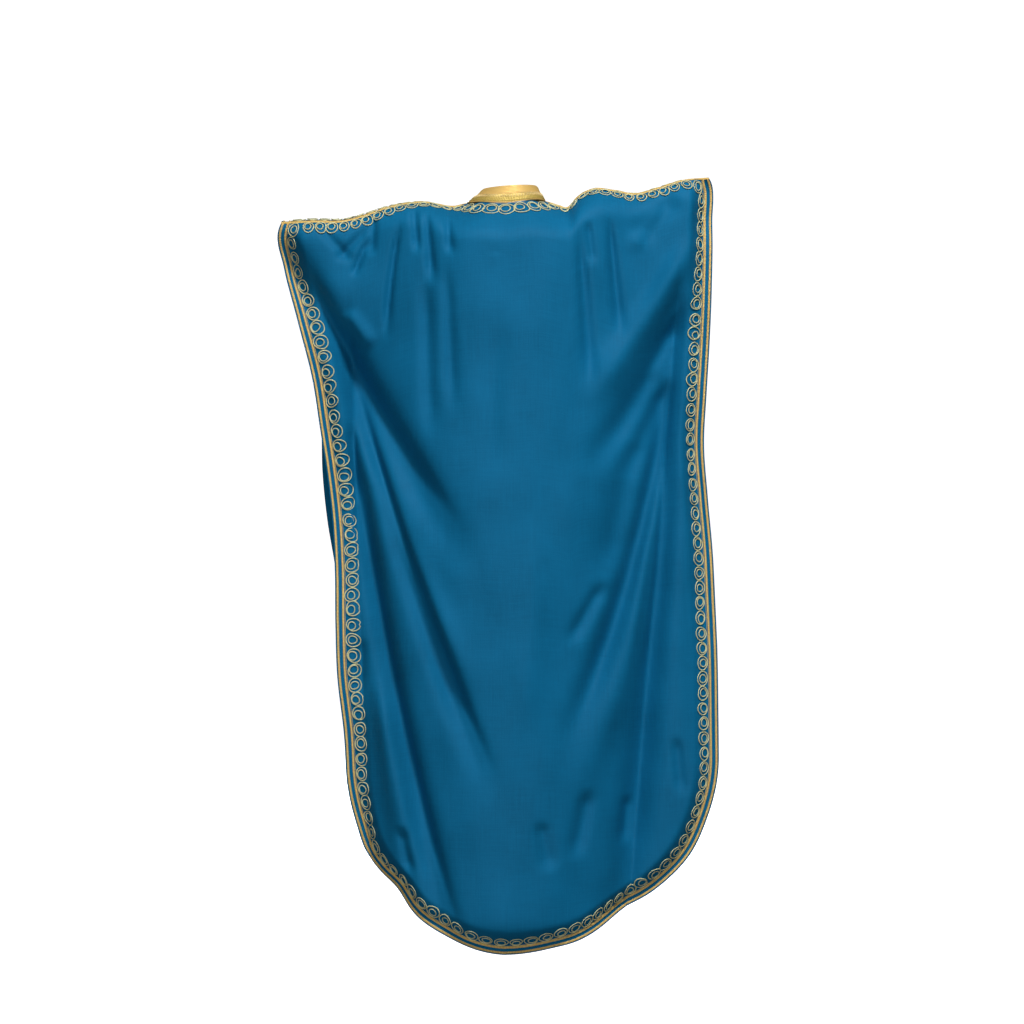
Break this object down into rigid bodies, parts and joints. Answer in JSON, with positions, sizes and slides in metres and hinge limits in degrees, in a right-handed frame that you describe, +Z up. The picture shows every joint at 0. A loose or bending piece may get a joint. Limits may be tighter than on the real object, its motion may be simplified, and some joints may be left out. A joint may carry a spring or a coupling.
{
  "type": "moroccan kaftan",
  "caption": "Long butterfly kaftan of teal crepe in worn form, with gold braid and ring embroidery along every edge and a gold brocade stand collar",
  "frame": {"origin": "the middle of the neck opening, level with the shoulder line, where the wearer's neck and shoulders hold the garment up", "axes": "+Z up, +X towards the wearer's left sleeve, +Y towards the back of the garment, so that its front faces -Y"},
  "size_m": [0.8258, 0.2486, 1.4425],
  "materials": {
    "teal_crepe": "matt crepe with a soft sheen",
    "gold_braid": "metallic thread braid",
    "gold_brocade": "satin brocade"
  },
  "bodies": {
    "root": {"back_panel": "teal_crepe", "front_panel": "teal_crepe", "collar": "gold_brocade", "collar_braid": "gold_braid", "back_braid_outer": "gold_braid", "back_braid_inner": "gold_braid", "front_braid_outer": "gold_braid", "front_braid_inner": "gold_braid", "shoulder_braid_left": "gold_braid", "shoulder_braid_right": "gold_braid"}
  },
  "joints": []
}
